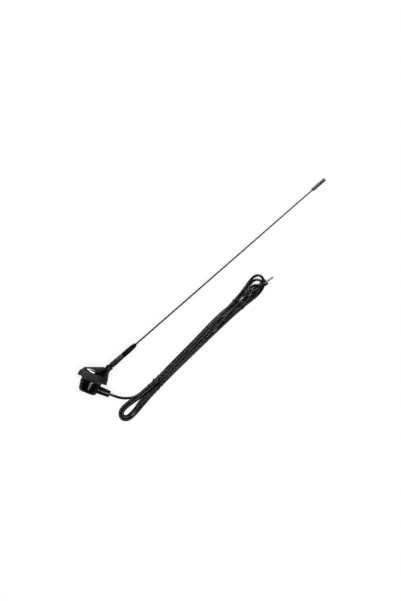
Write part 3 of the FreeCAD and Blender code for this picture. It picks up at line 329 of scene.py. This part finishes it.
boot = turned("boot", [(2.05, -26), (2.05, -30), (2.3, -30)] + arc((2.3, -29.6), 0.4, -90, 0, 4)
              + [(2.9, -27.5), (3.25, -24.5), (3.9, -21.8), (4.15, -20.9), (4.2, -20), (4.2, -14), (4.05, -13.8),
                 (4.05, -13.0), (4.2, -12.8), (4.2, -6.3), (4.0, -6.02), (2.9, -6.0)], PLUG_AXIS, 64)
boot_pvc = surface("boot_pvc", (0.006, 0.006, 0.006), (0.016, 0.016, 0.016), (0.28, 0.42), 1.2, bump=0.04,
                   gloss=0.4)
dress(boot, boot_pvc, "base", "cable_black", "plug_boot")

# Plug barrel: blackened metal collar, turned, with two grooves round it and a rolled edge in front. It is
# pressed on the boot.
barrel_profile = [(2.9, -6.5), (4.3, -6.05)] + arc((4.4, -5.7), 0.35, -90, 0, 4)
barrel_profile += [(4.75, -4.4), (4.6, -4.25), (4.6, -3.9), (4.75, -3.75), (4.75, -2.6), (4.6, -2.45),
                   (4.6, -2.1), (4.75, -1.95), (4.75, -0.6)]
barrel_profile += arc((4.3, -0.45), 0.45, 0, 90, 4) + [(3.2, 0.0), (3.0, -0.2), (2.9, -0.6), (2.9, -4.8)]
barrel = turned("barrel", barrel_profile, PLUG_AXIS, 72)
barrel_black = surface("barrel_black", (0.012, 0.012, 0.013), (0.03, 0.03, 0.031), (0.2, 0.34), 0.8,
                       metallic=0.5, coat=0.3, bump=0.02)
dress(barrel, barrel_black, "base", "dark_steel", "plug_barrel")

# Plug pin: nickel-plated brass rod with a rounded tip, turned, held in the barrel by an insulator.
bright = surface("bright_nickel", (0.22, 0.22, 0.225), (0.3, 0.3, 0.305), (0.42, 0.56), 0.9, metallic=0.3,
                 bump=0.01)
pin_profile = [(1.35, -4), (1.35, -0.35), (1.55, -0.3), (1.55, 10.2)] + arc((0.6, 10.6), 0.95, 0, 60, 5)
pin_profile += [(0.5, 11.95), (0, 12.0)]
pin = turned("contact_pin", pin_profile, PLUG_AXIS, 48)
dress(pin, bright, "base", "bright_steel", "plug_pin")

# Cover: zinc casting in gloss black paint. An oval rim and shoulder run up in a straight-drawn cone to the
# narrow neck, where two cheeks and a back wall in satin paint make the closed fork of the swivel.
paint = surface("gloss_paint", (0.001, 0.001, 0.001), (0.003, 0.003, 0.003), (0.06, 0.11), 2.4, coat=0.5,
                bump=0.012)
WEDGE = 2.3
MAST = BASE @ Matrix.Translation(HINGE) @ Matrix.Rotation(LEAN, 4, "Y")
CHEEK_RADIUS = 5.0


def between(first, second, part):
    """Point or ring at a part of the way from first to second."""
    return tuple(one + (two - one) * part for one, two in zip(first, second))


def prism(name, outline, low, high, matrix, bevel):
    """Extruded outline in the frame's X and Z, between two values of its Y, with rounded edges."""
    mesh = bmesh.new()
    near = [mesh.verts.new((across, low, up)) for across, up in outline]
    far = [mesh.verts.new((across, high, up)) for across, up in outline]
    mesh.faces.new(near)
    mesh.faces.new(list(reversed(far)))
    for step in range(len(outline)):
        after = (step + 1) % len(outline)
        mesh.faces.new([near[after], near[step], far[step], far[after]])
    bmesh.ops.recalc_face_normals(mesh, faces=mesh.faces)
    sharp = [edge for edge in mesh.edges if edge.calc_face_angle(0) > math.radians(35)]
    bmesh.ops.bevel(mesh, geom=sharp, offset=bevel, segments=3, affect="EDGES", profile=0.5)
    mesh.transform(Matrix.Scale(MM, 4) @ matrix)
    return placed(name, mesh)


cover_rim = (22.1, 18.8, 8.8, 0.0, WEDGE)
low_corner = (20.2, 16.2, 12.2, 1.4, 0.5)
corner = (19.75, 15.95, 14.0, 1.55, 0.2)
high_corner = (19.1, 15.2, 14.5, 2.1, 0.0)
cover_neck = (5.8, 4.8, 24.0, 13.45, 0.0)
rows = [(19.4, 16.2, 8.4, 0.0, WEDGE), (21.75, 18.45, 8.82, 0.0, WEDGE), (22.0, 18.7, 8.9, 0.0, WEDGE),
        (22.1, 18.8, 9.15, 0.0, WEDGE)]
rows += [between(cover_rim, low_corner, part) for part in (0.25, 0.5, 0.75)]
for step in range(9):
    part = step / 8
    first = between(low_corner, corner, part)
    second = between(corner, high_corner, part)
    rows.append(between(first, second, part))
rows += [between(high_corner, cover_neck, part / 12) for part in range(1, 13)]
rows += [(5.4, 4.5, 24.4, 13.9, 0.0), (3.4, 3.0, 24.6, 14.6, 0.0), (0, 0, 24.6, 15.2, 0.0)]
dome = skin("cover_dome", rows, BASE, 128)
dress(dome, paint, "base", "cover_black", "base_cover")
satin_paint = surface("satin_paint", (0.001, 0.001, 0.001), (0.003, 0.003, 0.003), (0.1, 0.18), 2.4,
                      bump=0.012, gloss=0.05)
cheek_outline = [(5.15, -3.2), (5.15, 3.8), (4.6, 4.35), (2.5, 4.35)]
cheek_outline += [(CHEEK_RADIUS * math.cos(math.radians(turn)), CHEEK_RADIUS * math.sin(math.radians(turn)))
                  for turn in range(62, 323, 9)]
for name, low, high in (("fork_cheek_top", -4.8, -1.8), ("fork_cheek_bottom", 1.8, 4.8)):
    cheek = prism(name, cheek_outline, low, high, MAST, 0.45)
    dress(cheek, satin_paint, "base", "cover_black")
wall_outline = [(3.65, -5.2), (5.15, -4.2), (5.15, 3.8), (4.6, 4.35), (3.65, 4.35)]
wall = prism("fork_back", wall_outline, -2.4, 2.4, MAST, 0.2)
dress(wall, satin_paint, "base", "cover_black")

# Cross screw and nut of the fork: blackened steel with the shapes of the CAD, a slotted cheese head let into
# the upper cheek and a nut let into the lower one.
dark_metal = surface("dark_steel", (0.006, 0.006, 0.006), (0.016, 0.016, 0.016), (0.35, 0.5), 0.7, metallic=0.3,
                     bump=0.02)
for name in ("swivel_screw", "swivel_nut"):
    dress(nodes[name], dark_metal, "base", "dark_steel")

# Gasket: matte moulded rubber wedge, flared to its foot, with a flat seat ring and a shallow hollow below.
# It lies between the cover and the roof.
rubber = surface("gasket_rubber", (0.01, 0.01, 0.01), (0.024, 0.024, 0.024), (0.5, 0.66), 0.6, bump=0.05,
                 gloss=0.25)
gasket_rows = [(8.7, 8.7, 1.6), (7.0, 7.0, 1.6), (7.0, 7.0, 0.8), (20.0, 17.4, 0.8), (20.2, 17.6, 0.1),
               (20.4, 17.8, 0.0), (22.8, 19.5, 0.0), (23.15, 19.85, 0.1),
               (FOOT_HALF_LENGTH, FOOT_HALF_WIDTH, 0.4), (23.25, 19.95, 1.2, 0.0, 0.3),
               (22.9, 19.6, 4.4, 0.0, 1.2), (22.5, 19.2, 7.9, 0.0, 2.1), (22.4, 19.1, 8.4, 0.0, WEDGE),
               (22.25, 18.95, 8.68, 0.0, WEDGE), (22.0, 18.7, 8.78, 0.0, WEDGE),
               (19.6, 16.4, 8.78, 0.0, WEDGE), (19.6, 16.4, 3.1)]
dress(skin("gasket_wedge", gasket_rows, BASE, 128), rubber, "base", "rubber_black", "base_gasket")

# Claw washer: spring steel ring on the rim of the cup, its edge turned up and notched into teeth that
# press on the seat of the gasket.
TOOTH_COUNT = 22
STEPS = TOOTH_COUNT * 4
mesh = bmesh.new()
washer_rows = []
for radius, low, tip in ((7.0, -3.38, -3.38), (14.8, -3.38, -3.38), (16.1, -1.9, -0.05), (15.3, -1.8, -0.05),
                         (14.2, -2.5, -2.5), (7.0, -2.5, -2.5)):
    row = []
    for step in range(STEPS):
        turn = 2 * math.pi * step / STEPS
        height = low if step % 4 == 0 else tip
        spot = BASE @ Vector((radius * math.cos(turn), radius * math.sin(turn), height))
        row.append(mesh.verts.new(spot * MM))
    washer_rows.append(row)
for row, beyond in zip(washer_rows, washer_rows[1:] + washer_rows[:1]):
    for step in range(STEPS):
        after = (step + 1) % STEPS
        mesh.faces.new([row[step], row[after], beyond[after], beyond[step]])
bmesh.ops.recalc_face_normals(mesh, faces=mesh.faces)
washer_steel = surface("washer_steel", (0.14, 0.14, 0.142), (0.26, 0.26, 0.262), (0.24, 0.4), 0.7,
                       metallic=0.9, bump=0.01)
dress(placed("claw_ring", mesh), washer_steel, "base", "bright_steel", "claw_washer")

# Clamp cup: gloss black moulding, drawn in to a rounded bottom with the nut recess, and an outlet boss at one
# side. It is pulled up to the washer by the nut.
OUTLET = BASE @ Matrix.Translation((0, 0, OUTLET_HEIGHT)) @ ALONG_X
moulding = surface("gloss_moulding", (0.001, 0.001, 0.001), (0.003, 0.003, 0.003), (0.14, 0.24), 1.8,
                   bump=0.02)
cup_profile = [(12.5, -14.0), (14.0, -5.0), (14.2, -3.6), (14.4, -3.42), (15.9, -3.4), (16.12, -3.5),
               (16.2, -3.8), (15.9, -5.9), (14.4, -15.6), (14.18, -16.6)]
cup_profile += arc((8.3, -15.3), 6.0, -11, -90, 9) + [(7.3, -21.3)]
cup_profile += arc((7.3, -21.0), 0.3, -90, -180, 3)[1:] + [(7.0, -16.3), (3.2, -16.3), (3.2, -13.8)]
dress(turned("cup_shell", cup_profile, BASE, 112), moulding, "base", "cup_black", "lower_cup")
cup_boss_profile = [(6.0, 11.6), (6.0, 16.9), (3.6, 17.0)]
dress(turned("cup_outlet", cup_boss_profile, OUTLET, 72), moulding, "base", "cup_black")

# Outlet sleeve: gloss black moulded strain relief, turned, with a straight taper to a rolled lip round the
# cable. It is pushed on the outlet of the cup.
relief_profile = [(3.6, 17.0), (5.6, 17.0)] + arc((5.6, 17.25), 0.28, -90, 0, 3)
relief_profile += [(5.85, 19.5), (5.25, 31.4)] + arc((4.4, 32.2), 0.8, 0, 90, 5)
relief_profile += [(2.5, SLEEVE_REACH), (2.1, 32.7), (2.05, 29)]
relief = turned("relief_cone", relief_profile, OUTLET, 72)
dress(relief, moulding, "base", "cup_black", "outlet_sleeve")

# Inside the foot, the cup and the plug, with the shapes of the CAD: plate, screws, bolt, spring washer, nut and
# braid strap in zinc-plated steel, tag and strip in brass, bush and insulator in black plastic, the end of the
# cable in PVC.
zinc = surface("zinc_plate", (0.42, 0.42, 0.43), (0.62, 0.61, 0.6), (0.28, 0.45), 0.9, metallic=1.0, bump=0.02)
brass = surface("plain_brass", (0.5, 0.34, 0.12), (0.66, 0.46, 0.18), (0.25, 0.42), 0.9, metallic=1.0,
                bump=0.02)
for name in ("base_plate", "plate_screws", "mounting_bolt", "spring_washer", "clamp_nut"):
    dress(nodes[name], zinc, "base", "zinc_steel")
for name in ("terminal_lug", "contact_strip"):
    dress(nodes[name], brass, "base", "bronze")
dress(nodes["shield_strap"], zinc, "base", "bright_steel")
for name in ("insulating_bush", "plug_insulator"):
    dress(nodes[name], moulding, "base", "cup_black")
dress(nodes["cable_end"], jacket, "base", "cable_black")

# Swivel foot: blackened steel with the shape of the CAD, its tongue and eye between the cheeks and its shank
# hidden in the sleeve. It turns on the cross screw and carries the mast.
dress(nodes["swivel_foot"], dark_metal, "mast", "dark_steel")

# Mast sleeve: matte rubber with fine rings moulded round its lower half, smooth and slimmer above. Its lower
# edge is chamfered to keep clear of the cover when the mast is folded. It is pulled over the shank.
RING_COUNT = 8
RING_START = 6.6
RING_END = 16.4
ring_pitch = (RING_END - RING_START) / RING_COUNT
ring_shape = [(4.5, 0), (4.37, 0.12), (4.09, 0.28), (4.05, 0.42), (4.09, 0.57), (4.37, 0.75), (4.5, 0.87)]
sleeve_profile = [(2.5, 5.4), (3.55, 5.4), (4.05, 5.85), (4.4, 6.25)]
for step in range(RING_COUNT):
    foot = RING_START + ring_pitch * step
    sleeve_profile += [(radius, foot + ring_pitch * part) for radius, part in ring_shape]
sleeve_profile += [(4.5, RING_END), (4.3, 16.9), (4.08, 17.5), (4.0, 22.0), (3.85, 27.9), (3.7, 28.3),
                   (3.5, 28.4), (2.5, 28.4)]
sleeve = turned("ribbed_sleeve", sleeve_profile, MAST, 80)
dress(sleeve, rubber, "mast", "rubber_black", "mast_sleeve")

# Ferrule: satin black paint, turned, a slim barrel with a long shoulder down to the whip. It joins the sleeve
# and the whip.
ferrule_profile = [(2.5, 28.4), (3.6, 28.42), (3.87, 28.6), (3.95, 29.0), (3.95, 42.4), (3.9, 44.0), (3.7, 47.4),
                   (3.25, 50.4), (2.92, 52.0), (2.7, 52.9), (2.4, 53.6), (2.0, 54.1), (1.6, 54.3), (1.3, 54.3)]
dress(turned("ferrule", ferrule_profile, MAST, 80), satin_paint, "mast", "mast_black", "mast_ferrule")

# Whip: thin steel rod in black coating, turned, tapering to the tip. It is held by the ferrule.
coating = surface("whip_coating", (0.004, 0.004, 0.004), (0.01, 0.01, 0.01), (0.24, 0.36), 1.0, bump=0.01,
                  gloss=0.25)
whip_profile = [(1.3, 53.8)] + [(1.3 - 0.3 * step / 10, 54.3 + 35.17 * step) for step in range(11)]
whip_profile += [(1.0, 408)]
dress(turned("whip", whip_profile, MAST, 40), coating, "mast", "mast_black", "mast_rod")

# Tip cap: satin grey metal, turned, with a tapered foot and a rounded end. It is pressed on the whip.
satin = surface("satin_cap", (0.05, 0.05, 0.051), (0.09, 0.09, 0.091), (0.34, 0.46), 0.8, metallic=0.7,
                bump=0.01)
cap_profile = [(1.05, 406.3), (1.5, 406.0), (1.75, 406.1), (2.35, 407.4), (2.52, 408.2), (2.6, 409.2),
               (2.6, MAST_REACH)]
cap_profile += arc((1.3, 430.4), 1.3, 0, 90, 7) + [(0, 431.7)]
dress(turned("tip_cap", cap_profile, MAST, 56), satin, "mast", "cap_satin", "mast_tip_cap")

# Table: plain white sheet just under the object. It keeps the object's soft shadow and glows to the camera
# so that it reads as white there, without lighting up the gloss black.
TABLE_GAP = 0.00002
bpy.ops.mesh.primitive_plane_add(size=6.0, location=(0.2, 0, TABLE * MM - TABLE_GAP))
table = bpy.context.active_object
table.name = "table_top"
floor = bpy.data.materials.new("table_white")
floor.use_nodes = True
tree = floor.node_tree
shader = tree.nodes["Principled BSDF"]
shader.inputs["Base Color"].default_value = (0.28, 0.28, 0.28, 1)
shader.inputs["Roughness"].default_value = 0.9
shader.inputs["Specular IOR Level"].default_value = 0.0
light_path = tree.nodes.new("ShaderNodeLightPath")
glow = tree.nodes.new("ShaderNodeEmission")
rays = None
for ray, share in (("Is Camera Ray", 0.79), ("Is Glossy Ray", 0.05), ("Is Transmission Ray", 0.79)):
    seen = tree.nodes.new("ShaderNodeMath")
    seen.operation = "MULTIPLY_ADD"
    seen.inputs[1].default_value = share
    seen.inputs[2].default_value = 0.0
    tree.links.new(light_path.outputs[ray], seen.inputs[0])
    if rays:
        tree.links.new(rays, seen.inputs[2])
    rays = seen.outputs["Value"]
tree.links.new(rays, glow.inputs["Strength"])
both = tree.nodes.new("ShaderNodeAddShader")
tree.links.new(shader.outputs["BSDF"], both.inputs[0])
tree.links.new(glow.outputs["Emission"], both.inputs[1])
tree.links.new(both.outputs["Shader"], tree.nodes["Material Output"].inputs["Surface"])
table.data.materials.append(floor)

# Light: surroundings that are white to the camera and nearly dark to the object, a broad fill that leaves no
# reflection, and three soft boxes that are seen only in reflections and draw the highlights: one low along the
# far side, one high beside the foot and one high beside the hank.
WORLD_LEVEL = 0.015
world = bpy.data.worlds.new("studio")
world.use_nodes = True
backdrop = world.node_tree.nodes["Background"]
backdrop.inputs["Color"].default_value = (1, 1, 1, 1)
to_camera = world.node_tree.nodes.new("ShaderNodeLightPath").outputs["Is Camera Ray"]
level = world.node_tree.nodes.new("ShaderNodeMapRange")
level.inputs["To Min"].default_value = WORLD_LEVEL
level.inputs["To Max"].default_value = 1.0
world.node_tree.links.new(to_camera, level.inputs["Value"])
world.node_tree.links.new(level.outputs["Result"], backdrop.inputs["Strength"])
bpy.context.scene.world = world


def hang(name, data, place, target, glossy):
    """Puts up a lamp that is seen either only in reflections or never in them."""
    lamp = bpy.data.objects.new(name, data)
    lamp.location = place
    lamp.rotation_euler = (Vector(target) - Vector(place)).to_track_quat("-Z", "Y").to_euler()
    lamp.visible_camera = False
    lamp.visible_glossy = glossy
    lamp.visible_diffuse = not glossy
    bpy.context.scene.collection.objects.link(lamp)


def soft_box(name, place, target, size, power):
    """Rectangular lamp that draws a highlight."""
    data = bpy.data.lights.new(name, "AREA")
    data.shape = "RECTANGLE"
    data.size, data.size_y = size
    data.energy = power
    hang(name, data, place, target, True)


fill = bpy.data.lights.new("fill", "SUN")
fill.energy = 2.35
fill.angle = math.radians(50)
hang("fill", fill, (0.1, -0.1, 2.0), (0.2, 0, 0), False)
soft_box("far_box", (0.9, 1.3, 0.34), (0.45, 0, 0.1), (1.7, 0.62), 60)
soft_box("top_box", (-0.3, -0.34, 1.95), (0, -0.03, 0), (0.5, 0.42), 5)
soft_box("hank_box", (0.3, -0.5, 2.0), (0.3, -0.07, 0), (0.6, 0.3), 14)
